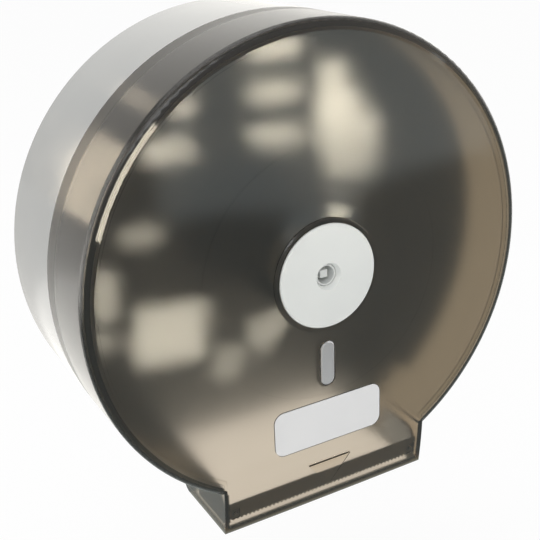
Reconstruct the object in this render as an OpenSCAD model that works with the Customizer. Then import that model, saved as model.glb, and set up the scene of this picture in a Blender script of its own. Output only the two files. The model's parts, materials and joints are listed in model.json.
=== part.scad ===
// Wall dispenser for one jumbo toilet roll: a round casing, a hinged translucent cover
// with a central plug lock, and a free-turning hub that carries the roll.
// Origin: the roll axis where it meets the wall. +X right, +Y into the wall, +Z up.
// The modules draw with z measured out from the wall; from_wall() stands them upright.

/* [Body] */
// Outer radius of the round casing and cover
body_r = 135; // [132:0.5:139]
// Depth from the wall to the top of the dome that the cover's face follows
body_depth = 115.8; // [114:0.2:120]
// Depth of the casing, from the wall to the seam
casing_depth = 62.4; // [58:0.2:66]
// Gap between the casing and the cover at the seam
seam_gap = 0.3; // [0.2:0.05:0.6]
// Width of the paper chute
chute_w = 135.2; // [130:0.4:142]
// Drop from the roll axis to the mouth of the chute
chute_drop = 144; // [143.5:0.5:150]

/* [Casing] */
// Side wall of the casing
casing_wall = 2.4; // [2:0.1:2.8]
// Space that the ribs keep between the back plate and the wall
standoff = 3; // [3:0.2:5]
// Thickness of the back plate
back_plate = 2.4; // [2:0.1:3]
// Thickness of the ribs behind the back plate
rib_t = 2; // [1.5:0.1:2.5]
// Number of radial ribs behind the back plate
rib_count = 12; // [8:4:20]
// Height by which the casing's chute ends above the cover's
chute_step = 3.5; // [2:0.5:5]
// Reach of the tongue into the cover
tongue_len = 10; // [6:0.5:12]
// Thickness of the tongue
tongue_t = 1.6; // [1.2:0.1:2]
// Gap between the tongue and the cover's wall
tongue_gap = 0.4; // [0.3:0.05:0.6]
// Width between the wall screws
wall_hole_dx = 150; // [140:1:160]
// Height between the wall screws
wall_hole_dy = 130; // [110:1:140]
// Diameter of the wall screw slots
wall_hole_d = 5.5; // [4.5:0.1:6]
// Travel of a wall screw along its slot
wall_slot_travel = 6; // [4:0.5:8]

/* [Cover] */
// Wall of the cover
cover_wall = 2.2; // [2:0.1:2.6]
// Rounding between the cover's side and its rim
corner_r = 3.5; // [3:0.1:4.5]
// Width from the cover's side to the crease of the face
rim_w = 6.5; // [6:0.1:9]
// Rise of the domed face between the crease and its middle
dome_rise = 1.2; // [0.8:0.1:2]
// Step from the rim up to the edge of the domed face
crease_step = 0.4; // [0.2:0.05:0.8]
// Depth of the lip along the front of the mouth
lip_depth = 5; // [4.6:0.1:6]
// Height of the flange round the mouth
flange_h = 2.2; // [1.6:0.1:2.6]

/* [Hinge] */
// Height of the hinge axis above the mouth, and radius of the knuckles
knuckle_r = 6.5; // [6:0.1:7.5]
// Radius of the hinge pins
pin_r = 2; // [1.5:0.1:2.5]
// Thickness of the casing's hinge ears
ear_t = 4; // [3.5:0.1:5]
// Thickness of the cover's hinge cheeks
cheek_t = 4.4; // [4:0.1:5]
// Side gap between an ear and its cheek
ear_gap = 0.4; // [0.3:0.05:0.6]

/* [Spindle and hub] */
// Distance from the cover's face back to the end of the spindle
spindle_setback = 27.8; // [27:0.2:32]
// Outer radius of the spindle
spindle_r = 18; // [17.6:0.1:18.4]
// Wall of the spindle
spindle_wall = 5; // [4.6:0.1:5.2]
// Radius of the spindle's foot
foot_r = 28; // [27.4:0.2:30]
// Thickness of the spindle's foot
foot_t = 8; // [6:0.5:10]
// Radius of the hub's sleeve, which the roll's core sits on
hub_r = 29; // [28:0.2:32]
// Wall of the hub's sleeve and tube
hub_wall = 2.5; // [2:0.1:3]
// Radius of the hub's back flange
hub_flange_r = 38; // [36:0.5:45]
// Thickness of the hub's back flange
hub_flange_t = 2.5; // [2:0.1:4]
// Number of webs in the hub
web_count = 6; // [4:1:10]
// Thickness of the thrust washer
washer_t = 0.8; // [0.5:0.1:1.5]
// Thickness of the spindle cap
cap_t = 3; // [2.5:0.1:3.4]
// Width of the keyhole slot in the spindle cap
slot_w = 7.5; // [7:0.1:8.5]

/* [Lock] */
// Radius of the lock barrel
barrel_r = 6; // [5.8:0.1:6.2]
// Wall of the lock barrel's mouth
barrel_wall = 0.85; // [0.7:0.05:1.1]
// Width of the square key peg
peg_w = 4.3; // [3.8:0.1:4.8]
// Half length of the locking bar
bar_reach = 10; // [9:0.1:10.8]
// Width of the locking bar
bar_w = 6; // [5.6:0.1:6.4]
// Thickness of the locking bar
bar_t = 4; // [3:0.1:5]

/* [Face trim] */
// Radius of the centre disc
disc_r = 29.5; // [28:0.1:31]
// Thickness of the centre disc
disc_t = 2.6; // [2.4:0.1:3.4]
// Width of the level window
window_w = 9; // [8:0.1:11]
// Height of the level window
window_h = 27.6; // [25:0.2:29]
// Drop from the roll axis to the middle of the level window
window_drop = 53.4; // [52:0.1:55]
// Width of the label plate
label_w = 70.2; // [64:0.2:80]
// Height of the label plate
label_h = 27.4; // [24:0.2:29]
// Drop from the roll axis to the middle of the label plate
label_drop = 90; // [89:0.1:92]
// Width of the arrow mark
arrow_w = 28; // [22:1:34]
// Drop from the roll axis to the top of the arrow mark
arrow_drop = 116.5; // [114:0.5:118]

/* [Tear bar] */
// Thickness of the tear bar
tear_t = 1.2; // [1:0.1:1.6]
// Height of the tear bar from its tooth tips to its top edge
tear_w = 11.7; // [11:0.1:12.5]
// Height of the tooth tips above the flange round the mouth
tear_lift = 3.3; // [2.6:0.1:4]
// Thickness of the tear bar's wings along the chute's sides
wing_t = 1.8; // [1.4:0.1:2]
// Pitch of the teeth
tooth_pitch = 2.6; // [2:0.1:4]
// Depth of the teeth
tooth_depth = 1.5; // [1:0.1:2]

/* [Hidden] */
$fn = 96;
eps = 0.5;

// Fits
run_gap = 0.06;
snug_gap = 0.02;
place_gap = 0.3;
axial_gap = 0.2;

// Casing
back_front = standoff + back_plate;
casing_drop = chute_drop - chute_step;
tongue_outer_inset = cover_wall + tongue_gap;
tongue_floor_y = -100;
tongue_root = 4;
boss_r = foot_r + 5;
ring_r = [62, 98];
wall_boss_r = 9;
wall_head_r = 5.2;
wall_head_sink = 1.6;
fence_t = 2;
fence_h = 4;

// Cover
cover_back = casing_depth + seam_gap;
rim_z = body_depth - dome_rise - crease_step;
crease_r = body_r - rim_w;
dome_r = crease_r * crease_r / (2 * dome_rise);
chute_reach = 170;
function dome_z(r) = body_depth - r * r / (2 * dome_r);
chute_half = chute_w / 2;
mouth_half = chute_half - cheek_t;
guide_len = 15.2;
guide_end = body_depth - guide_len;
guide_wall = 3.5;
gusset_t = 1.6;
gusset_reach = 24;
gusset_h = 9;

// Swell of the face round the disc: three arcs from its edge in, with their outer ends' tilts
swell_r = 72.7;
swell_step = 0.1;
swell_foot = 12;
swell_arcs = [1300, 325, 149];
swell_tilts = [0.716, 1.805, 3.04];
function swell_way(i) = [sin(swell_tilts[i]), cos(swell_tilts[i])];
function swell_end(i) = i == 0 ? [swell_r, dome_z(swell_r) + swell_step]
    : swell_hub(i - 1) - swell_arcs[i - 1] * swell_way(i);
function swell_hub(i) = swell_end(i) + swell_arcs[i] * swell_way(i);
function arc_of(r) = r > swell_end(1)[0] ? 0 : r > swell_end(2)[0] ? 1 : 2;
function swell_z(r) = let (i = arc_of(r), out = swell_hub(i)[0] - r)
    swell_hub(i)[1] - sqrt(swell_arcs[i] * swell_arcs[i] - out * out);
collar_ring_w = 3;
frame_r = disc_r + collar_ring_w;
boss_z = swell_z(frame_r);

// Brow, where the face of the chute rounds back; the lift makes it cross the dome at a small angle
brow_start = 98;
brow_r = 306;
brow_lift = 0.02;
brow_lean = asin(brow_start / dome_r);
brow_hub = dome_r - brow_r + brow_lift;
brow_y = -brow_hub * sin(brow_lean);
brow_z = body_depth - dome_r + brow_hub * cos(brow_lean);
function brow_face(v) = brow_z + sqrt(brow_r * brow_r - (v + brow_y) * (v + brow_y));
function face_z(v) = v < swell_r ? swell_z(v) : min(dome_z(v), v < brow_start ? body_depth : brow_face(v));
chute_front = face_z(chute_drop);

// Hinge
hinge_y = -(chute_drop - knuckle_r);
hinge_z = casing_depth;
ear_r = knuckle_r - 1;
ear_out = mouth_half - ear_gap;
notch_gap = 0.8;
notch_back = 2.1;
pin_skin = 1;
pin_head_r = 3.4;
pin_head_t = 1.4;

// Spindle, hub and their screws
spindle_end = body_depth - spindle_setback;
foot_front = back_front + foot_t;
foot_screw_r = 2;
foot_screw_ring = (spindle_r + foot_r) / 2;
foot_head_r = 3.6;
foot_head_t = 2.3;
foot_head_gap = 0.4;
hub_bore_r = spindle_r + run_gap;
hub_back = foot_front + washer_t + axial_gap;
hub_front = spindle_end - axial_gap;
cap_r = spindle_r + 2.5;
cap_screw_r = 1.5;
cap_screw_ring = spindle_r - spindle_wall / 2;
cap_screw_len = 10;
cap_head_r = 2.8;
cap_head_t = 2;
bar_drop_room = 3;

// Lock
bar_gap = 2;
bar_front = spindle_end - bar_gap;
bar_back = bar_front - bar_t;
shank_r = 3;
stub_w = 4;
lock_flange_r = barrel_r + 2.5;
lock_flange_t = 1.4;
lock_washer_t = 0.8;
lock_washer_gap = 0.1;
lock_flange_front = guide_end - lock_washer_t - 2 * lock_washer_gap;
lock_flange_back = lock_flange_front - lock_flange_t;
retainer_t = 1.6;
retainer_front = lock_flange_back - axial_gap;
retainer_back = retainer_front - retainer_t;
retainer_r = 16;
retainer_screw_ring = lock_flange_r + place_gap + 3.2;
retainer_boss_r = 3.2;
retainer_screw_r = 1.25;
retainer_screw_len = 9;
retainer_head_r = 2.6;
retainer_head_t = 1.6;
barrel_rim = boss_z - 0.8;
barrel_cup = 9;
peg_sink = 2.1;
bar_screw_r = 1.2;
bar_screw_len = 8;
bar_head_r = 3;
bar_head_t = 1.8;

// Centre disc
disc_seat = boss_z - place_gap;
disc_front = disc_seat + disc_t;
disc_edge = 0.5;
dish_r = 7.7;
disc_hole_r = barrel_r + place_gap;
collar_r = 9;
collar_len = 1;
peg_r = 1.4;
peg_ring = 20;
peg_count = 3;
collar_ring_h = 1.2;

// Window, label and arrow
window_gap = 0.1;
window_flange = 1.5;
window_flange_t = 1.2;
window_proud = 0.5;
window_bevel = 0.8;
label_t = 0.8;
label_gap = 0.3;
label_corner = 6;
label_sink = 0.1;
arrow_h = 19;
arrow_proud = 1.1;
arrow_tip_proud = 0.1;
arrow_root = 2;
arrow_fall = face_z(arrow_drop) - face_z(arrow_drop + arrow_h) + arrow_proud - arrow_tip_proud;
arrow_ramp = atan(arrow_fall / arrow_h);

// Tear bar
tear_mid = chute_drop - flange_h - tear_lift - tear_w / 2;
tear_lean = asin((tear_mid + brow_y) / brow_r);
tear_half = chute_half - cover_wall - tongue_gap;
tear_gap = 1.6;
wing_inset = 12.5;
wing_back = cover_back + wing_inset;
wing_front = brow_z + (brow_r - cover_wall - tear_gap - tear_t) * cos(tear_lean) + 0.4;
wing_rise = 12.6;
wing_top = tear_mid - wing_rise;
wing_bottom = tear_mid + tear_w / 2;
wing_round = 9;
pad_w = 5.2;
pad_h = 7;
tear_screw_r = 1.25;
tear_screw_bite = 2.4;
tear_head_r = 2.4;
tear_head_t = 1.4;
tear_screw_x = tear_half - wing_t - place_gap - tear_head_r;

// ---------- Helpers ----------

// Stands a shape drawn with z out from the wall upright in the part's own frame
module from_wall() {
    rotate([90, 0, 0]) children();
}

// Extrudes a profile drawn in (y, z) along x, from x to x + t
module along_x(x, t) {
    translate([x, 0, 0]) rotate([90, 0, 90]) linear_extrude(t) children();
}

// Repeats its children on both sides of the middle
module both_sides() {
    children();
    mirror([1, 0, 0]) children();
}

// Places its children at the given height above the wall
module at_z(z) {
    translate([0, 0, z]) children();
}

// Repeats its children round the roll axis
module round_axis(count, first = 0) {
    for (i = [0 : count - 1]) rotate([0, 0, first + i * 360 / count]) children();
}

// A flat ring standing on z = 0
module ring(outer, inner, h) {
    difference() {
        cylinder(r = outer, h = h);
        at_z(-eps) cylinder(r = inner, h = h + 2 * eps);
    }
}

// A rectangle of the given size with round corners, centred
module round_rect(w, h, r) {
    square([w - 2 * r, h], center = true);
    square([w, h - 2 * r], center = true);
    for (sx = [-1, 1], sy = [-1, 1]) translate([sx * (w / 2 - r), sy * (h / 2 - r)]) circle(r = r);
}

// An upright slot with full-round ends, centred
module upright_slot(w, h) {
    square([w, h - w], center = true);
    for (s = [-1, 1]) translate([0, s * (h - w) / 2]) circle(d = w);
}

// A pan-head screw: shank along +z from its seat at z = 0, head below the seat
module screw(shank_r, shank_len, head_r, head_t) {
    cross_w = head_r * 0.3;
    cross_l = head_r * 1.2;
    cylinder(r = shank_r, h = shank_len);
    difference() {
        at_z(-head_t) cylinder(r = head_r, h = head_t);
        for (a = [0, 90]) at_z(-head_t) rotate([0, 0, a])
            cube([cross_l, cross_w, head_t], center = true);
    }
}

// ---------- Casing ----------

// Outline of the dispenser, a circle with the straight chute below it
module outline(inset, drop) {
    half = chute_half - inset;
    circle(r = body_r - inset, $fn = 180);
    translate([-half, -(drop - inset)]) square([2 * half, drop - inset]);
}

// The casing's walls and back plate, open at the front and at the mouth
module casing_shell() {
    inner_half = chute_half - casing_wall;
    difference() {
        linear_extrude(casing_depth) outline(0, casing_drop);
        at_z(back_front) linear_extrude(casing_depth) {
            outline(casing_wall, casing_drop);
            translate([-inner_half, -casing_drop - eps]) square([2 * inner_half, casing_drop]);
        }
        at_z(-eps) linear_extrude(standoff + eps) outline(casing_wall, casing_drop);
    }
}

// Ribs and rings that hold the back plate off the wall
module back_ribs() {
    intersection() {
        linear_extrude(standoff + eps) outline(eps, casing_drop);
        union() {
            round_axis(rib_count) translate([foot_r, -rib_t / 2, 0])
                cube([chute_reach - foot_r, rib_t, standoff + eps]);
            for (r = ring_r) ring(r + rib_t / 2, r - rib_t / 2, standoff + eps);
        }
    }
}

// Places its children at the four wall screws
module at_wall_holes() {
    for (sx = [-1, 1], sy = [-1, 1])
        translate([sx * wall_hole_dx / 2, sy * wall_hole_dy / 2, 0]) children();
}

// A level slot of the given diameter for a wall screw to slide in
module level_slot(d) {
    rotate([0, 0, 90]) upright_slot(d, d + wall_slot_travel);
}

// Tongue that the cover closes over, with its root in the casing's wall, left out by the chute
module tongue() {
    outer = body_r - tongue_outer_inset;
    inner = outer - tongue_t;
    difference() {
        at_z(casing_depth - tongue_root) {
            ring(body_r - casing_wall / 2, inner, tongue_root);
            ring(outer, inner, tongue_root + tongue_len);
        }
        translate([-body_r, -2 * body_r + tongue_floor_y, 0])
            cube([2 * body_r, 2 * body_r, casing_depth + 2 * tongue_len]);
    }
}

// Profile in (y, z) of a hinge ear with its arm back into the casing
module ear_profile() {
    arm_back = hinge_z - 3.5 * knuckle_r;
    translate([hinge_y, hinge_z]) circle(r = ear_r);
    polygon([[hinge_y - ear_r, hinge_z], [hinge_y + ear_r, hinge_z],
        [hinge_y + 2.5 * ear_r, arm_back], [-casing_drop, arm_back],
        [-casing_drop, hinge_z - knuckle_r - notch_back]]);
}

// One hinge ear on the right, with the block that ties it to the side wall
module ear() {
    block_front = hinge_z - knuckle_r - notch_back;
    block_back = hinge_z - 3.5 * knuckle_r;
    along_x(ear_out - ear_t, ear_t) ear_profile();
    along_x(ear_out - eps, chute_half - casing_wall / 2 - ear_out + eps) polygon([
        [-casing_drop, block_front], [hinge_y + 2.5 * ear_r, block_front],
        [hinge_y + 2.5 * ear_r, block_back], [-casing_drop, block_back]]);
}

// Room for the cover's knuckle to turn in the casing's side wall
module knuckle_notch() {
    along_x(ear_out, chute_half - ear_out + eps) {
        translate([hinge_y, hinge_z]) circle(r = knuckle_r + notch_gap);
        translate([-casing_drop - eps, hinge_z - knuckle_r - notch_back])
            square([hinge_y + casing_drop + eps, knuckle_r + notch_back + eps]);
    }
}

module rear_casing() {
    color([0.80, 0.81, 0.82]) from_wall() difference() {
        union() {
            casing_shell();
            back_ribs();
            cylinder(r = boss_r, h = back_front);
            at_wall_holes() linear_extrude(back_front) level_slot(2 * wall_boss_r);
            at_z(back_front) ring(foot_r + place_gap + fence_t, foot_r + place_gap, fence_h);
            tongue();
            both_sides() ear();
        }
        at_wall_holes() at_z(-eps) linear_extrude(back_front + 2 * eps) level_slot(wall_hole_d);
        at_wall_holes() at_z(back_front - wall_head_sink) linear_extrude(back_plate)
            level_slot(2 * wall_head_r);
        both_sides() knuckle_notch();
        both_sides() along_x(ear_out - ear_t - eps, ear_t + 2 * eps)
            translate([hinge_y, hinge_z]) circle(r = pin_r + snug_gap);
        round_axis(4, 45) translate([foot_screw_ring, 0, -eps]) {
            cylinder(r = foot_screw_r + run_gap, h = back_front + 2 * eps);
            cylinder(r = foot_head_r + place_gap, h = foot_head_t + foot_head_gap + eps);
        }
    }
}

// Pin through an ear into the blind bore of a cheek, with its head inside the ear
module hinge_pin() {
    pin_start = ear_out - ear_t;
    pin_end = chute_half - pin_skin - axial_gap;
    color([0.72, 0.73, 0.75]) from_wall() {
        along_x(pin_start - eps, pin_end - pin_start + eps) translate([hinge_y, hinge_z])
            circle(r = pin_r);
        along_x(pin_start - pin_head_t, pin_head_t) translate([hinge_y, hinge_z])
            circle(r = pin_head_r);
    }
}

module hinge_pin_right() {
    hinge_pin();
}

module hinge_pin_left() {
    mirror([1, 0, 0]) hinge_pin();
}

// ---------- Spindle and hub ----------

module spindle_post() {
    color([0.80, 0.81, 0.82]) from_wall() difference() {
        union() {
            at_z(back_front) cylinder(r = foot_r, h = foot_t);
            at_z(back_front) cylinder(r = spindle_r, h = spindle_end - back_front);
        }
        at_z(back_front - eps) cylinder(r = spindle_r - spindle_wall,
            h = spindle_end - back_front + 2 * eps);
        round_axis(4, 45) translate([foot_screw_ring, 0, back_front - eps])
            cylinder(r = foot_screw_r + snug_gap, h = foot_t);
        round_axis(2) translate([cap_screw_ring, 0, spindle_end - cap_screw_len])
            cylinder(r = cap_screw_r + snug_gap, h = cap_screw_len + eps);
    }
}

module spindle_screws() {
    seat = foot_head_t + foot_head_gap;
    color([0.72, 0.73, 0.75]) from_wall()
        round_axis(4, 45) translate([foot_screw_ring, 0, seat])
            screw(foot_screw_r, back_front + foot_t - seat - 1.5, foot_head_r, foot_head_t);
}

module spindle_cap() {
    slot_h = 2 * (bar_reach + bar_drop_room);
    color([0.86, 0.87, 0.88]) from_wall() difference() {
        at_z(spindle_end) cylinder(r = cap_r, h = cap_t);
        at_z(spindle_end - eps) linear_extrude(cap_t + 2 * eps)
            square([slot_w, slot_h], center = true);
        round_axis(2) translate([cap_screw_ring, 0, spindle_end - eps])
            cylinder(r = cap_screw_r + run_gap, h = cap_t + 2 * eps);
    }
}

module cap_screws() {
    color([0.72, 0.73, 0.75]) from_wall()
        round_axis(2) translate([cap_screw_ring, 0, spindle_end + cap_t]) mirror([0, 0, 1])
            screw(cap_screw_r, cap_t + cap_screw_len - 1.5, cap_head_r, cap_head_t);
}

module hub_washer() {
    color([0.93, 0.93, 0.90]) from_wall()
        at_z(foot_front) ring(foot_r - 2, spindle_r + place_gap, washer_t);
}

module roll_hub() {
    hub_len = hub_front - hub_back;
    tube_r = hub_bore_r + hub_wall;
    lead = 1.2;
    color([0.16, 0.16, 0.17]) from_wall() at_z(hub_back) {
        ring(hub_flange_r, hub_bore_r, hub_flange_t);
        ring(tube_r, hub_bore_r, hub_len);
        rotate_extrude() polygon([[hub_r - hub_wall, 0], [hub_r, 0], [hub_r, hub_len - lead],
            [hub_r - lead, hub_len], [hub_r - hub_wall, hub_len]]);
        round_axis(web_count) translate([tube_r - eps / 2, -hub_wall / 2, 0])
            cube([hub_r - hub_wall - tube_r + eps, hub_wall, hub_len - lead]);
    }
}

// ---------- Cover ----------

// Half section of the swell that carries the centre disc, sunk by the given depth
module swell_section(sink) {
    foot = body_depth - swell_foot;
    difference() {
        translate([0, foot]) square([swell_r, boss_z - sink - foot]);
        for (i = [0 : 2]) {
            outer = i == 0 ? swell_r + eps : (swell_end(i) - sink * swell_way(i))[0];
            inner = i == 2 ? 0 : (swell_end(i + 1) - sink * swell_way(i + 1))[0];
            intersection() {
                translate(swell_hub(i)) circle(r = swell_arcs[i] + sink, $fn = 2000);
                translate([inner, foot]) square([outer - inner, 2 * (boss_z - foot)]);
            }
        }
    }
}

// Half section of the cover's round outside, with its domed face, swell, crease, rim and corner
module cover_section() {
    intersection() {
        translate([0, body_depth - dome_r]) circle(r = dome_r, $fn = 2000);
        translate([0, cover_back]) square([crease_r, body_depth - cover_back]);
    }
    swell_section(0);
    translate([0, cover_back]) square([body_r - corner_r, rim_z - cover_back]);
    translate([0, cover_back]) square([body_r, rim_z - corner_r - cover_back]);
    translate([body_r - corner_r, rim_z - corner_r]) circle(r = corner_r);
}

// Half section of the hollow inside the cover, one wall in from the outside
module hollow_section() {
    inner_r = body_r - cover_wall;
    inner_rim = rim_z - cover_wall;
    inner_corner = corner_r - cover_wall;
    intersection() {
        translate([0, body_depth - dome_r]) circle(r = dome_r - cover_wall, $fn = 2000);
        translate([0, cover_back - eps]) square([crease_r - cover_wall, body_depth - cover_back]);
    }
    swell_section(cover_wall);
    translate([0, cover_back - eps]) square([inner_r - inner_corner, inner_rim - cover_back + eps]);
    translate([0, cover_back - eps]) square([inner_r, inner_rim - inner_corner - cover_back + eps]);
    translate([inner_r - inner_corner, inner_rim - inner_corner]) circle(r = inner_corner);
}

// Everything up to the domed face, carried out past the round body, sunk by the given depth
module under_dome(sink, from_z) {
    rotate_extrude($fn = 180) intersection() {
        translate([0, body_depth - dome_r]) circle(r = dome_r - sink, $fn = 2000);
        translate([0, from_z]) square([chute_reach, body_depth - from_z]);
    }
}

// The chute of the cover, whose face runs on smoothly from the dome
module chute_block(inset, sink, bottom, from_z) {
    half = chute_half - inset;
    intersection() {
        under_dome(sink, from_z);
        translate([-half, -bottom, from_z]) cube([2 * half, bottom, body_depth]);
    }
}

// What lies before the brow: an arc swept about the upright line through the dome's centre
module before_brow(sink) {
    span = asin(body_r / dome_r);
    depth = 25;
    translate([0, 0, body_depth - dome_r]) rotate([90, 0, 0]) rotate([0, 0, 90 - span])
        rotate_extrude(angle = 2 * span, $fn = 7200) difference() {
            translate([dome_r + eps - depth, brow_start]) square([depth, chute_reach - brow_start]);
            translate([brow_hub * cos(brow_lean), -brow_y]) circle(r = brow_r - sink, $fn = 1800);
        }
}

// The cover's walls: the round shell and chute with their hollow and the open mouth
module cover_shell() {
    difference() {
        union() {
            rotate_extrude($fn = 180) intersection() {
                cover_section();
                square([body_r, boss_z + eps]);
            }
            chute_block(0, 0, chute_drop, cover_back);
        }
        before_brow(0);
        difference() {
            union() {
                rotate_extrude($fn = 180) intersection() {
                    hollow_section();
                    square([body_r, boss_z + eps]);
                }
                chute_block(cover_wall, cover_wall, chute_drop - flange_h, cover_back - eps);
            }
            before_brow(cover_wall);
        }
        translate([-mouth_half, -chute_drop - eps, cover_back - eps])
            cube([2 * mouth_half, flange_h + 2 * eps, chute_front - lip_depth - cover_back + eps]);
    }
}

// Hinge cheek on the right: the round knuckle and the pad that runs forward from it
module cheek() {
    pad_front = cover_back + knuckle_r;
    along_x(mouth_half, cheek_t) {
        translate([hinge_y, hinge_z]) circle(r = knuckle_r);
        polygon([[hinge_y - knuckle_r, hinge_z], [hinge_y + knuckle_r, hinge_z],
            [hinge_y + knuckle_r, cover_back + 1], [hinge_y - knuckle_r, cover_back + 1]]);
    }
    along_x(mouth_half, cheek_t - cover_wall / 2) polygon([
        [hinge_y - knuckle_r, cover_back], [hinge_y + knuckle_r, cover_back],
        [hinge_y - knuckle_r + flange_h, pad_front], [hinge_y - knuckle_r, pad_front]]);
}

// Tube that guides the lock barrel, its gussets and the bosses for the retainer
module lock_guide() {
    tube_r = barrel_r + run_gap + guide_wall;
    inner_face = boss_z - cover_wall + eps;
    at_z(guide_end) cylinder(r = tube_r, h = inner_face - guide_end);
    round_axis(4, 45) rotate([90, 0, 0]) translate([0, 0, -gusset_t / 2]) linear_extrude(gusset_t)
        polygon([[tube_r - 1, inner_face - gusset_h], [tube_r - 1, inner_face],
            [gusset_reach, inner_face]]);
    for (s = [-1, 1]) translate([0, s * retainer_screw_ring, retainer_front])
        cylinder(r = retainer_boss_r, h = inner_face - retainer_front);
}

// Raised ring of the cover that frames the centre disc
module disc_frame() {
    inner = disc_r + place_gap;
    foot = boss_z - cover_wall / 2;
    top = boss_z + collar_ring_h;
    bevel = 0.8;
    rotate_extrude($fn = 180) polygon([[inner, foot], [frame_r, foot], [frame_r, top - bevel],
        [frame_r - bevel, top], [inner, top]]);
}

// Lays its children on the face at a drop from the roll axis, tilted as the face is between
// the given reach above and below: x across, y up the face, z out
module on_face(drop, reach) {
    tilt = atan((face_z(drop - reach) - face_z(drop + reach)) / (2 * reach));
    translate([0, -drop, face_z(drop)]) rotate([tilt, 0, 0]) children();
}

// Lays its children on the inside of the chute's face, at the middle of the tear bar
module on_tear_face() {
    translate([0, brow_y, brow_z]) rotate([tear_lean, 0, 0]) at_z(brow_r - cover_wall) children();
}

// Pad on the right that the end of the tear bar is screwed to
module tear_pad() {
    on_tear_face() translate([tear_screw_x - pad_w / 2, -pad_h / 2, -tear_gap])
        cube([pad_w, pad_h, tear_gap + cover_wall / 2]);
}

// Arrow mark: a raised triangle that is proudest at its top edge
module arrow_mark() {
    translate([0, -arrow_drop, face_z(arrow_drop) + arrow_proud]) rotate([arrow_ramp, 0, 0])
        at_z(-arrow_root) linear_extrude(arrow_root)
            polygon([[-arrow_w / 2, 0], [arrow_w / 2, 0], [0, -arrow_h]]);
}

module front_cover() {
    color([0.35, 0.33, 0.29, 0.6]) from_wall() difference() {
        union() {
            cover_shell();
            both_sides() cheek();
            lock_guide();
            disc_frame();
            both_sides() tear_pad();
            arrow_mark();
        }
        // Blind bores for the hinge pins
        both_sides() along_x(mouth_half - eps, cheek_t - pin_skin + eps)
            translate([hinge_y, hinge_z]) circle(r = pin_r + run_gap);
        // Bore for the lock barrel, and the seat of the centre disc
        at_z(guide_end - eps) cylinder(r = barrel_r + run_gap, h = boss_z - guide_end + 2 * eps);
        at_z(disc_seat) cylinder(r = disc_r + place_gap, h = 5, $fn = 180);
        at_z(disc_seat - collar_len - snug_gap) cylinder(r = collar_r + run_gap, h = 5);
        round_axis(peg_count, 90) translate([peg_ring, 0, disc_seat - 5])
            cylinder(r = peg_r + run_gap, h = 6);
        for (s = [-1, 1]) translate([0, s * retainer_screw_ring, retainer_front - eps])
            cylinder(r = retainer_screw_r + snug_gap, h = retainer_screw_len);
        // Window, label seat and the tear bar's screws
        on_face(window_drop, window_h / 2) at_z(-2 * cover_wall) linear_extrude(4 * cover_wall)
            upright_slot(window_w + 2 * window_gap, window_h + 2 * window_gap);
        on_face(label_drop, label_h / 2) at_z(-label_sink - label_t) linear_extrude(5)
            round_rect(label_w + 2 * label_gap, label_h + 2 * label_gap, label_corner + label_gap);
        both_sides() on_tear_face() translate([tear_screw_x, 0, -tear_gap - eps])
            cylinder(r = tear_screw_r + snug_gap, h = eps + tear_screw_bite + axial_gap);
    }
}

module centre_disc() {
    hub_face = disc_seat - collar_len;
    color([0.90, 0.91, 0.90]) from_wall() {
        rotate_extrude($fn = 180) polygon([[disc_hole_r, hub_face], [collar_r, hub_face],
            [collar_r, disc_seat], [disc_r, disc_seat], [disc_r, disc_front - disc_edge],
            [disc_r - disc_edge, disc_front], [dish_r, disc_front], [disc_hole_r, disc_seat]]);
        round_axis(peg_count, 90) translate([peg_ring, 0, boss_z - cover_wall])
            cylinder(r = peg_r, h = cover_wall - place_gap + eps);
    }
}

// Upright bar with full-round ends and a bevel round its top, standing on z = 0
module bevelled_bar(w, h, t, bevel) {
    half = w / 2;
    for (s = [-1, 1]) translate([0, s * (h - w) / 2, 0]) rotate_extrude()
        polygon([[0, 0], [half, 0], [half, t - bevel], [half - bevel, t], [0, t]]);
    translate([0, (h - w) / 2, 0]) rotate([90, 0, 0]) linear_extrude(h - w)
        polygon([[-half, 0], [half, 0], [half, t - bevel], [half - bevel, t],
            [bevel - half, t], [-half, t - bevel]]);
}

module level_window() {
    back = -cover_wall - place_gap / 3;
    color([0.85, 0.86, 0.88, 0.5]) from_wall() on_face(window_drop, window_h / 2) {
        at_z(back - window_flange_t) linear_extrude(window_flange_t)
            upright_slot(window_w + 2 * window_flange, window_h + 2 * window_flange);
        at_z(back - eps) bevelled_bar(window_w, window_h, window_proud - back + eps, window_bevel);
    }
}

module label_plate() {
    color([0.93, 0.93, 0.93]) from_wall() on_face(label_drop, label_h / 2)
        at_z(-label_sink - label_t) linear_extrude(label_t) round_rect(label_w, label_h, label_corner);
}

// Outline of the tear bar, with its teeth down between the wings
module tear_outline() {
    top = tear_w / 2;
    root = tooth_depth - top;
    tooth_count = floor(2 * (tear_half - wing_t - eps) / tooth_pitch);
    teeth_half = tooth_count * tooth_pitch / 2;
    teeth = [for (i = [0 : tooth_count - 1]) let (x = teeth_half - i * tooth_pitch)
        each [[x, root], [x - tooth_pitch / 2, -top]]];
    polygon(concat([[-tear_half, root], [-tear_half, top], [tear_half, top], [tear_half, root]],
        teeth, [[-teeth_half, root]]));
}

// Wing on the right: a plate along the chute's side, with its upper front corner rounded
module tear_wing() {
    along_x(tear_half - wing_t, wing_t) {
        translate([-wing_bottom, wing_back])
            square([wing_bottom - wing_top, wing_front - wing_round - wing_back]);
        translate([-wing_bottom, wing_back])
            square([wing_bottom - wing_top - wing_round, wing_front - wing_back]);
        translate([-wing_top - wing_round, wing_front - wing_round]) circle(r = wing_round);
    }
}

module tear_bar() {
    color([0.30, 0.30, 0.29]) from_wall() {
        on_tear_face() at_z(-tear_gap - tear_t) difference() {
            linear_extrude(tear_t) tear_outline();
            for (s = [-1, 1]) translate([s * tear_screw_x, 0, -eps])
                cylinder(r = tear_screw_r + run_gap, h = tear_t + 2 * eps);
        }
        both_sides() tear_wing();
    }
}

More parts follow.
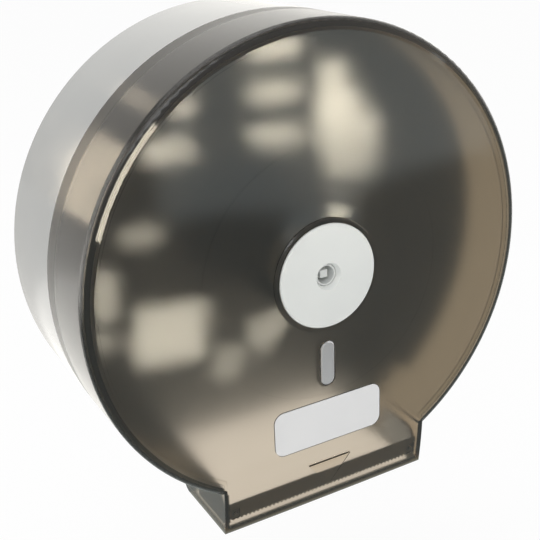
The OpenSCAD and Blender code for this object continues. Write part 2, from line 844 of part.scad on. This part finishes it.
module tear_bar_screws() {
    color([0.72, 0.73, 0.75]) from_wall() on_tear_face()
        for (s = [-1, 1]) translate([s * tear_screw_x, 0, -tear_gap - tear_t])
            screw(tear_screw_r, tear_t + tear_screw_bite, tear_head_r, tear_head_t);
}

// ---------- Lock ----------

module lock_retainer() {
    plate_w = 2 * lock_flange_r - 1;
    color([0.86, 0.87, 0.88]) from_wall() difference() {
        at_z(retainer_back) linear_extrude(retainer_t) intersection() {
            circle(r = retainer_r);
            square([plate_w, 2 * retainer_r], center = true);
        }
        at_z(retainer_back - eps) cylinder(r = shank_r + place_gap, h = retainer_t + 2 * eps);
        for (s = [-1, 1]) translate([0, s * retainer_screw_ring, retainer_back - eps])
            cylinder(r = retainer_screw_r + run_gap, h = retainer_t + 2 * eps);
    }
}

module retainer_screws() {
    color([0.72, 0.73, 0.75]) from_wall()
        for (s = [-1, 1]) translate([0, s * retainer_screw_ring, retainer_back])
            screw(retainer_screw_r, retainer_screw_len, retainer_head_r, retainer_head_t);
}

module lock_washer() {
    color([0.93, 0.93, 0.90]) from_wall() at_z(lock_flange_front + lock_washer_gap)
        ring(lock_flange_r - 0.2, barrel_r + place_gap, lock_washer_t);
}

module lock_barrel() {
    color([0.88, 0.89, 0.90]) from_wall() {
        difference() {
            at_z(lock_flange_back) cylinder(r = barrel_r, h = barrel_rim - lock_flange_back);
            at_z(barrel_rim - barrel_cup) cylinder(r = barrel_r - barrel_wall, h = barrel_cup + eps);
        }
        at_z(lock_flange_back) cylinder(r = lock_flange_r, h = lock_flange_t);
        translate([-peg_w / 2, -peg_w / 2, barrel_rim - barrel_cup - eps])
            cube([peg_w, peg_w, barrel_cup - peg_sink + eps]);
        difference() {
            union() {
                at_z(bar_front) cylinder(r = shank_r, h = lock_flange_back - bar_front + eps);
                translate([-stub_w / 2, -stub_w / 2, bar_back])
                    cube([stub_w, stub_w, bar_t + eps]);
            }
            at_z(bar_back - eps) cylinder(r = bar_screw_r + snug_gap, h = bar_screw_len + 2 * eps);
        }
    }
}

// Bar with round ends that turns behind the spindle cap
module lock_bar() {
    stub_hole = stub_w + 2 * run_gap;
    color([0.72, 0.73, 0.75]) from_wall() at_z(bar_back) difference() {
        linear_extrude(bar_t) intersection() {
            circle(r = bar_reach);
            square([bar_w, 2 * bar_reach], center = true);
        }
        translate([-stub_hole / 2, -stub_hole / 2, -eps])
            cube([stub_hole, stub_hole, bar_t + 2 * eps]);
    }
}

module lock_bar_screw() {
    color([0.72, 0.73, 0.75]) from_wall() at_z(bar_back)
        screw(bar_screw_r, bar_screw_len, bar_head_r, bar_head_t);
}

rear_casing();
spindle_post();
spindle_screws();
spindle_cap();
cap_screws();
hub_washer();
hinge_pin_left();
hinge_pin_right();
roll_hub();
front_cover();
centre_disc();
level_window();
label_plate();
tear_bar();
tear_bar_screws();
lock_retainer();
retainer_screws();
lock_washer();
lock_barrel();
lock_bar();
lock_bar_screw();
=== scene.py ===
"""Looks of the jumbo toilet roll dispenser: materials, floor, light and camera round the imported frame."""
import json
import math

import bpy
from mathutils import Matrix, Quaternion, Vector


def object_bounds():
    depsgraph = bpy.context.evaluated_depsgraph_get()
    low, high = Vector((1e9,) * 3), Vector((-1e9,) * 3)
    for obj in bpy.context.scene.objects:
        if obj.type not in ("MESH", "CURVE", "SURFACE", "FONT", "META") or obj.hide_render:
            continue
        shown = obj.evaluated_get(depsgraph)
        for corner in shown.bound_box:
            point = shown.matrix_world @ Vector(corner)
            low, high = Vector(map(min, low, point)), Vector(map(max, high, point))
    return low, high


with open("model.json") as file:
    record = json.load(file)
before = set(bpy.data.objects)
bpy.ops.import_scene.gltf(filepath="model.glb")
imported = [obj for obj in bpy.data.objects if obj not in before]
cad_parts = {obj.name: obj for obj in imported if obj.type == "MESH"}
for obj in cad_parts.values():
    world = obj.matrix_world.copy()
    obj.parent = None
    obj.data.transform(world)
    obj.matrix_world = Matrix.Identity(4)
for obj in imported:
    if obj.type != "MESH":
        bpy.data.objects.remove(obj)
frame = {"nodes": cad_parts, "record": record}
cad_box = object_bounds()
nodes = frame["nodes"]
scene = bpy.context.scene

# ---------- Camera, solved from the photograph's silhouette and seam ----------

CAM_AZIMUTH = math.radians(-29.21)
CAM_ELEVATION = math.radians(21.52)
CAM_ROLL = math.radians(-2.44)
CAM_DISTANCE = 0.5698
CAM_TARGET = Vector((0.00847, -0.06240, -0.00868))
CAM_LENS = 64.59
CAM_SHIFT = (-0.0365, -0.0252)


def make_camera():
    back = Vector((math.sin(CAM_AZIMUTH) * math.cos(CAM_ELEVATION),
                   -math.cos(CAM_AZIMUTH) * math.cos(CAM_ELEVATION),
                   math.sin(CAM_ELEVATION)))
    level = Vector((math.cos(CAM_AZIMUTH), math.sin(CAM_AZIMUTH), 0))
    steep = back.cross(level)
    right = math.cos(CAM_ROLL) * level + math.sin(CAM_ROLL) * steep
    up = back.cross(right)
    data = bpy.data.cameras.new("camera")
    data.lens = CAM_LENS
    data.shift_x, data.shift_y = CAM_SHIFT
    data.clip_start = 0.01
    camera = bpy.data.objects.new("camera", data)
    turn = Matrix((right, up, back)).transposed().to_4x4()
    camera.matrix_world = Matrix.Translation(CAM_TARGET + back * CAM_DISTANCE) @ turn
    scene.collection.objects.link(camera)
    scene.camera = camera


# ---------- Node helpers ----------

def add(tree, kind, settings=None, **inputs):
    """A node of the given kind; inputs are numbers, colours or sockets to link."""
    node = tree.nodes.new("ShaderNode" + kind)
    for key, value in (settings or {}).items():
        setattr(node, key, value)
    for key, value in inputs.items():
        socket = node.inputs[int(key[1:])] if key[0] == "_" else node.inputs[key.replace("_", " ")]
        if isinstance(value, bpy.types.NodeSocket):
            tree.links.new(value, socket)
        else:
            socket.default_value = value
    return node


def math_node(tree, operation, a, b=0.0):
    return add(tree, "Math", {"operation": operation}, _0=a, _1=b).outputs[0]


def noise(tree, scale, detail=2.0, stretch=(1, 1, 1)):
    """Noise in the object's own coordinates, scale in cells a metre."""
    where = add(tree, "TexCoord").outputs["Object"]
    spread = add(tree, "Mapping", Vector=where, Scale=stretch).outputs[0]
    return add(tree, "TexNoise", Vector=spread, Scale=scale, Detail=detail).outputs["Fac"]


def mapped(tree, value, low, high, from_low=0.3, from_high=0.7):
    return add(tree, "MapRange", Value=value, From_Min=from_low, From_Max=from_high,
               To_Min=low, To_Max=high).outputs[0]


def new_material(name, roughness=None, colour=None, **inputs):
    material = bpy.data.materials.new(name)
    material.use_nodes = True
    tree = material.node_tree
    shader = tree.nodes["Principled BSDF"]
    if colour:
        shader.inputs["Base Color"].default_value = (*colour, 1)
    if roughness is not None:
        shader.inputs["Roughness"].default_value = roughness
    for key, value in inputs.items():
        shader.inputs[key.replace("_", " ")].default_value = value
    return material, tree, shader


def moulded(name, colour, roughness, grain=900, depth=2e-5, drift=0.03, **inputs):
    """Moulded plastic: a slow drift of tone, a finer one of gloss, and a fine grain."""
    material, tree, shader = new_material(name, **inputs)
    tone = noise(tree, 14, 3)
    darker = [c * (1 - drift) for c in colour]
    lighter = [min(1, c * (1 + drift)) for c in colour]
    mix = add(tree, "Mix", {"data_type": "RGBA"}, _0=mapped(tree, tone, 0, 1),
              _6=(*darker, 1), _7=(*lighter, 1))
    tree.links.new(mix.outputs[2], shader.inputs["Base Color"])
    gloss = mapped(tree, noise(tree, 60, 4), roughness * 0.85, roughness * 1.15)
    tree.links.new(gloss, shader.inputs["Roughness"])
    bump = add(tree, "Bump", Strength=0.35, Distance=depth, Height=noise(tree, grain, 3))
    tree.links.new(bump.outputs[0], shader.inputs["Normal"])
    return material


# ---------- Materials ----------

# The smoked cover: tints of its surfaces, with painted shade on its side wall and edges, and the colour and
# density of its body
WALL_TINT = (0.90, 0.88, 0.84)
SIDE_PAINTED_SHADE = (0.54, 0.54, 0.51)      # painted shade: the side wall's tint, darkened for how dark the wall looks seen along its length
EDGE_PAINTED_SHADE = (0.06, 0.06, 0.055)     # painted shade: near-black on the lip and the outer edges, for how dark they look seen along their walls
SMOKE_COLOUR = (0.66, 0.53, 0.33)
SMOKE_DENSITY = 380

# Where its zones begin and end
RING_RADIUS = 0.1285                # outside it the face is a polished ring
BRINK_RADIUS = 0.1302               # outside it the ring gets the edges' painted shade
SIDE_RADIUS = 0.1320                # outside it the surface is the side wall
HEM_FRONT = -0.0735                 # the satin hem along the cover's back edge ends here
CHUTE_HALF = 0.0678                 # half the width of the chute and of what is frosted in it
EDGE_HALF = 0.0650                  # beyond it the chute's front gets the edges' painted shade
EDGE_TOP = -0.1165                  # but only below this height
LIP_TOP = -0.1404                   # below it is the lip at the mouth of the chute, which gets the edges' painted shade
AHEAD = -0.85                       # a surface whose y faces less than this looks straight ahead
RING_FALL = 0.14                    # slope by which the ring falls away to the side wall

# Roughness: of the polish, from and to, and what each zone adds
POLISH = (0.045, 0.07)
FACE_SATIN = 0.045
SIDE_SATIN = 0.13
HEM_SATIN = 0.25
INSIDE_FROST = 0.26

# Relief: cells a metre of the face's grain and of the draw lines, the lines' share, and the depth
GRAIN_CELLS = 1500
DRAW_CELLS = 160
DRAW_SHARE = 0.15
RELIEF_DEPTH = 3.5e-5


def step_up(tree, value, edge, soft=0.0001):
    """0 below the edge and 1 above it, with a narrow ramp between."""
    return add(tree, "MapRange", Value=value, From_Min=edge - soft, From_Max=edge + soft).outputs[0]


def both(tree, a, b):
    """The product, which for two masks is where both hold."""
    return math_node(tree, "MULTIPLY", a, b)


def inverse(tree, a):
    return math_node(tree, "SUBTRACT", 1.0, a)


def blend(tree, factor, first, second):
    """A colour between two, each a triple or a socket."""
    ends = [end if isinstance(end, bpy.types.NodeSocket) else (*end, 1) for end in (first, second)]
    return add(tree, "Mix", {"data_type": "RGBA"}, _0=factor, _6=ends[0], _7=ends[1]).outputs[2]


def dot(tree, vector, direction):
    return add(tree, "VectorMath", {"operation": "DOT_PRODUCT"},
               _0=vector, _1=direction).outputs["Value"]


def true_normal(tree):
    """The way the surface faces in the object's own axes, also where a ray meets it from within."""
    behind = add(tree, "NewGeometry").outputs["Backfacing"]
    sign = math_node(tree, "SUBTRACT", 1.0, math_node(tree, "MULTIPLY", behind, 2.0))
    normal = add(tree, "TexCoord").outputs["Normal"]
    turned = add(tree, "VectorMath", {"operation": "SCALE"}, _0=normal, Scale=sign).outputs[0]
    return add(tree, "SeparateXYZ", Vector=turned).outputs


def smoked_material():
    """Smoked plastic, polished but for its satin face and the frosted inside of face and chute, with
    painted shade on its side wall and edges.
    """
    material, tree, shader = new_material("smoked_cover", Transmission_Weight=1.0, IOR=1.49)
    where = add(tree, "TexCoord").outputs["Object"]
    axes = add(tree, "SeparateXYZ", Vector=where).outputs
    facing = true_normal(tree)
    flat = add(tree, "CombineXYZ", X=axes[0], Z=axes[2]).outputs[0]
    radius = add(tree, "VectorMath", {"operation": "LENGTH"}, _0=flat).outputs["Value"]
    aside = math_node(tree, "ABSOLUTE", axes[0])
    off_chute = math_node(tree, "MAXIMUM", step_up(tree, axes[2], 0.0), step_up(tree, aside, CHUTE_HALF))
    ring = both(tree, step_up(tree, radius, RING_RADIUS), off_chute)
    side = both(tree, step_up(tree, radius, SIDE_RADIUS), off_chute)
    forward = inverse(tree, step_up(tree, facing[1], -0.5, 0.1))
    inward = step_up(tree, facing[1], 0.5, 0.1)
    face = both(tree, forward, inverse(tree, ring))
    # The chute's sides are frosted within: there the surface faces the middle
    to_middle = both(tree, facing[0], math_node(tree, "SIGN", axes[0]))
    chute_side = both(tree, inverse(tree, step_up(tree, to_middle, -0.5, 0.1)),
                      inverse(tree, off_chute))
    inside = math_node(tree, "MAXIMUM", inward, chute_side)
    hem = both(tree, side, step_up(tree, axes[1], HEM_FRONT, 0.0004))
    satin = math_node(tree, "MAXIMUM", both(tree, face, FACE_SATIN), both(tree, hem, HEM_SATIN))
    satin = math_node(tree, "MAXIMUM", satin, both(tree, side, SIDE_SATIN))
    rough = math_node(tree, "ADD", both(tree, inside, INSIDE_FROST), satin)
    rough = math_node(tree, "ADD", rough, mapped(tree, noise(tree, 70, 4), *POLISH))
    tree.links.new(rough, shader.inputs["Roughness"])
    # Painted shade: the side wall gets a darker tint for how dark it looks seen along its length
    tint_and_side_shade = blend(tree, side, WALL_TINT, SIDE_PAINTED_SHADE)
    # Painted shade: the lip, the ring's outer brink and the chute's low front edges get a near-black tint
    # for how dark they look seen along their walls
    lip_shade = inverse(tree, step_up(tree, axes[2], LIP_TOP, 0.0003))
    low = inverse(tree, step_up(tree, axes[2], EDGE_TOP, 0.0003))
    ahead = inverse(tree, step_up(tree, facing[1], AHEAD, 0.05))
    brink_shade = both(tree, both(tree, off_chute, step_up(tree, radius, BRINK_RADIUS)), ahead)
    low_brink_shade = both(tree, low, step_up(tree, aside, EDGE_HALF))
    low_brink_shade = both(tree, low_brink_shade, math_node(tree, "MAXIMUM", forward, inward))
    brink_shade = math_node(tree, "MAXIMUM", brink_shade, low_brink_shade)
    edge = math_node(tree, "MAXIMUM", lip_shade, brink_shade)
    tree.links.new(blend(tree, edge, tint_and_side_shade, EDGE_PAINTED_SHADE), shader.inputs["Base Color"])
    grain = both(tree, noise(tree, GRAIN_CELLS, 2), face)
    draw_lines = noise(tree, DRAW_CELLS, 3, (1, 0.06, 1))
    height = math_node(tree, "ADD", grain, both(tree, draw_lines, DRAW_SHARE))
    bump = add(tree, "Bump", Strength=0.5, Distance=RELIEF_DEPTH, Height=height)
    # The ring falls away a little towards the side wall
    fall = math_node(tree, "MAXIMUM", math_node(tree, "SUBTRACT", radius, RING_RADIUS), 0.0)
    fall = both(tree, both(tree, fall, off_chute), -RING_FALL)
    slope = add(tree, "Bump", Strength=1.0, Distance=1.0, Height=fall, Normal=bump.outputs[0])
    tree.links.new(slope.outputs[0], shader.inputs["Normal"])
    smoke = add(tree, "VolumeAbsorption", Color=(*SMOKE_COLOUR, 1), Density=SMOKE_DENSITY)
    tree.links.new(smoke.outputs[0], tree.nodes["Material Output"].inputs["Volume"])
    return material


def make_looks():
    return {
        "casing_grey": moulded("casing_grey", (0.345, 0.35, 0.345), 0.12),
        "smoked_cover": smoked_material(),
        "white_plastic": moulded("white_plastic", (0.74, 0.76, 0.74), 0.4),
        "lock_plastic": moulded("lock_plastic", (0.70, 0.72, 0.71), 0.4),
        "label_white": moulded("label_white", (0.78, 0.78, 0.78), 0.35),
        "clear_lens": moulded("clear_lens", (0.86, 0.87, 0.88), 0.12, Transmission_Weight=0.6, IOR=1.49),
        "dark_plastic": moulded("dark_plastic", (0.05, 0.05, 0.052), 0.5),
        "tear_bar_grey": moulded("tear_bar_grey", (0.80, 0.82, 0.83), 0.5),
        "nylon": moulded("nylon", (0.75, 0.74, 0.70), 0.5),
        "steel": moulded("steel", (0.55, 0.56, 0.57), 0.42, Metallic=1.0),
    }


def dress():
    looks = make_looks()
    slot_of = {s["node"]: s["material_slot"] for s in frame["record"]["subparts"]}
    for name, obj in nodes.items():
        obj.data.materials.clear()
        obj.data.materials.append(looks[slot_of[name]])


# ---------- Stage ----------

PALE = (0.94, 1.0, 0.95)
BUFF = (1.0, 0.98, 0.93)
FLOOR_DROP = 0.115      # from the hung object down to the floor: the open cover reaches 0.102 down
FLOOR_SIZE = 8
FLOOR_WHITE = 0.92      # of plain white in what the camera sees of the floor; the rest is lit
INSIDE_LIGHT = 0.075    # of the studio that reaches the inside through the smoked wall

# What mirror rays see of the table: in front, and added behind, near and far of a slanted line
FRONT_GLOSS = 0.72
NEAR_GLOSS = 0.93
FAR_GLOSS = 0.28
TABLE_EDGE = (0.796, 0.605, 0)      # across that line

WORLD_LIGHT = (0.30, 0.95)          # of the world, from its dim side to its bright one
BRIGHT_SIDE = (-0.35, 0.35, 0.87)   # that one is up, behind and to the left
BACK_GLOSS = (0.80, 1.45)           # what mirror rays see behind, at the left and the right; in front 1


def backdrop(tree, lit, direct, gloss, tone):
    """White to the camera and to clear rays, gloss to mirror rays; a share of lit to what is inside."""
    path = add(tree, "LightPath").outputs
    through = path["Is Transmission Ray"]
    mirrored = both(tree, through, path["Glossy Depth"])
    turns = math_node(tree, "ADD", path["Diffuse Depth"], mirrored)
    bounced = math_node(tree, "GREATER_THAN", turns, 0.5)
    mirror = both(tree, path["Is Glossy Ray"], inverse(tree, bounced))
    seen = both(tree, through, inverse(tree, bounced))
    share = math_node(tree, "MAXIMUM", both(tree, path["Is Camera Ray"], direct), seen)
    white = add(tree, "Emission", Color=(1, 1, 1, 1), Strength=1.0).outputs[0]
    studio = add(tree, "Emission", Color=tone, Strength=gloss).outputs[0]
    dim = both(tree, both(tree, through, bounced), 1 - INSIDE_LIGHT)
    black = add(tree, "Emission", Color=(0, 0, 0, 1), Strength=0.0).outputs[0]
    inner = add(tree, "MixShader", _0=dim, _1=lit, _2=black).outputs[0]
    shown = add(tree, "MixShader", _0=mirror, _1=inner, _2=studio).outputs[0]
    return add(tree, "MixShader", _0=share, _1=shown, _2=white).outputs[0]


def make_world():
    world = bpy.data.worlds.new("world")
    scene.world = world
    world.use_nodes = True
    tree = world.node_tree
    studio = tree.nodes["Background"]
    studio.inputs["Color"].default_value = (1, 1, 1, 1)
    toward = add(tree, "TexCoord").outputs["Generated"]
    height = dot(tree, toward, BRIGHT_SIDE)
    tree.links.new(mapped(tree, height, *WORLD_LIGHT, -1, 1), studio.inputs["Strength"])
    way = add(tree, "SeparateXYZ", Vector=toward).outputs
    back = mapped(tree, way[1], 0, 1, -0.2, 0.6)
    darker = inverse(tree, mapped(tree, way[0], *BACK_GLOSS, -0.35, 0.35))
    gloss = inverse(tree, both(tree, back, darker))
    shell = backdrop(tree, studio.outputs[0], 1.0, gloss, (*BUFF, 1))
    tree.links.new(shell, tree.nodes["World Output"].inputs["Surface"])


def make_floor():
    """A floor below the reach of the open cover, and a table top that only mirror rays meet."""
    material, tree, shader = new_material("floor", 0.9, (0.85, 0.85, 0.85), Specular_IOR_Level=0.0)
    where = add(tree, "TexCoord").outputs["Object"]
    behind = step_up(tree, add(tree, "SeparateXYZ", Vector=where).outputs[1], 0.0, 0.05)
    beyond = dot(tree, where, TABLE_EDGE)
    far = both(tree, behind, step_up(tree, beyond, 0.01, 0.004))
    near = both(tree, behind, inverse(tree, far))
    gloss = math_node(tree, "ADD", both(tree, near, NEAR_GLOSS), both(tree, far, FAR_GLOSS))
    gloss = math_node(tree, "ADD", gloss, FRONT_GLOSS)
    top = backdrop(tree, shader.outputs[0], FLOOR_WHITE, gloss, blend(tree, behind, PALE, BUFF))
    tree.links.new(top, tree.nodes["Material Output"].inputs["Surface"])
    for name, height in (("floor", cad_box[0].z - FLOOR_DROP), ("mirror_table", cad_box[0].z)):
        bpy.ops.mesh.primitive_plane_add(size=FLOOR_SIZE, location=(0, 0, height))
        plane = bpy.context.object
        plane.name = name
        plane.data.materials.append(material)
        plane.visible_glossy = name == "mirror_table"
        for kind in ("camera", "diffuse", "transmission", "shadow"):
            setattr(plane, "visible_" + kind, name == "floor")


def area_lamp(name, location, target, size, radiance, colour=(1, 1, 1)):
    """A soft rectangular lamp of the given radiance, kept out of clear plastic and of view."""
    data = bpy.data.lights.new(name, "AREA")
    data.shape = "RECTANGLE"
    data.size, data.size_y = size
    data.energy = radiance * math.pi * size[0] * size[1]
    data.color = colour
    lamp = bpy.data.objects.new(name, data)
    lamp.location = location
    lamp.rotation_mode = "QUATERNION"
    lamp.rotation_quaternion = (Vector(target) - Vector(location)).to_track_quat("-Z", "Y")
    lamp.visible_camera = False
    lamp.visible_transmission = False
    scene.collection.objects.link(lamp)
    return lamp


CREAM = (1.0, 0.912, 0.72)
WARM = (1.0, 0.85, 0.64)
COOL = (0.88, 0.98, 1.0)

# Lamps that light the object, aimed at the origin: place, size and radiance
LAMPS = {
    "key": ((-0.9, -1.5, 1.2), (1.0, 1.0), 2.4),
    "top": ((-0.2, 0.1, 1.3), (1.2, 1.2), 1.2),
}

# Panes of window light that the face mirrors: middle x, y, z, width, height, lean in degrees, and
# brightness in PANE_LIGHTs. The first 15 rows aren't worked out here, and they should be: a helper script
# printed their places, and their sizes before rounding, from patch corners read by hand in the photo.
# The last row, for the polished ring, was placed as listed.
PANE_LIGHT = 11
PANES = [
    (0.1113, -0.365, 0.0844, 0.048, 0.011, 3, 2.31),
    (0.1081, -0.365, 0.0507, 0.047, 0.0155, -3, 1.53),
    (0.1074, -0.365, 0.0154, 0.047, 0.0155, -5, 1.74),
    (0.0274, -0.365, 0.0503, 0.017, 0.012, 20, 2.16),
    (0.0117, -0.365, 0.0173, 0.039, 0.013, 3, 2.55),
    (-0.0182, -0.365, -0.0470, 0.033, 0.014, -3, 0.86),
    (-0.0524, -0.365, -0.0914, 0.013, 0.040, -8, 1.32),
    (-0.0578, -0.365, -0.1297, 0.012, 0.010, -10, 1.45),
    (-0.0281, -0.290, -0.0996, 0.053, 0.047, -6, 1.12),
    (0.1654, -0.365, 0.0568, 0.025, 0.022, -6, 1.85),
    (0.1705, -0.365, 0.0335, 0.042, 0.022, -6, 1.85),
    (0.1780, -0.365, 0.0075, 0.064, 0.027, -6, 1.95),
    (0.1825, -0.365, -0.0165, 0.057, 0.013, -8, 2.02),
    (0.0300, -0.270, -0.1110, 0.016, 0.034, 20, 0.64),
    (0.0069, -0.270, -0.1257, 0.022, 0.027, -10, 0.45),
    (-0.0800, -0.365, 0.0355, 0.026, 0.125, -37, 1.36),
]

# Windows behind at the left, which the side wall mirrors: middle x and z on the plane SIDE_Y, width,
# height, lean and radiance. They were placed from mirror rays that are not worked out here. They
# were placed by hand from mirror rays that a helper script printed.
SIDE_Y = 0.400
SIDE_PANES = [
    (-0.3154, 0.1410, 0.036, 0.215, 22, 7.2),
    (-0.1640, 0.3070, 0.052, 0.026, -29, 3.6),
]

# Cards at the left that the casing and the cover's rim mirror: place, width and height, lean,
# radiance and colour
LEFT_CARDS = {
    "left_card": ((-0.50, 0.05, 0.17), (0.60, 0.56), 0, 2.4, BUFF),
    "edge_card": ((-0.50, -0.28, 0.17), (0.06, 0.56), 10, 8, WARM),
}

# Wide dim cards that lift the face's upper part and its right: middle x, z, width, height
HAZE_Y = -0.365
HAZE_LIGHT = 1.0
HAZE_CARDS = [
    (0.175, 0.035, 0.350, 0.150),
    (0.255, 0.035, 0.200, 0.150),
]


def mirror_card(name, place, facing, size, lean, radiance, colour):
    """A lamp that only mirror rays meet; lean turns it in its own plane, in degrees."""
    card = area_lamp(name, place, facing, size, radiance, colour)
    card.rotation_quaternion = card.rotation_quaternion @ Quaternion((0, 0, 1), math.radians(lean))
    card.visible_diffuse = False


def make_lamps():
    for name, (place, size, radiance) in LAMPS.items():
        area_lamp(name, place, (0, 0, 0), size, radiance)
    for i, (x, y, z, width, height, lean, bright) in enumerate(PANES):
        radiance = PANE_LIGHT * bright
        mirror_card(f"pane_{i}", (x, y, z), (x, 0, z), (width, height), lean, radiance, CREAM)
    for i, (x, z, width, height, lean, bright) in enumerate(SIDE_PANES):
        mirror_card(f"side_pane_{i}", (x, SIDE_Y, z), (x, 0, z), (width, height), lean, bright, WARM)
    for name, (place, size, lean, radiance, colour) in LEFT_CARDS.items():
        mirror_card(name, place, (0, *place[1:]), size, lean, radiance, colour)
    for i, (x, z, width, height) in enumerate(HAZE_CARDS):
        mirror_card(f"haze_{i}", (x, HAZE_Y, z), (x, 0, z), (width, height), 0, HAZE_LIGHT, COOL)


make_camera()
dress()
make_world()
make_floor()
make_lamps()
scene.view_settings.view_transform = "Standard"
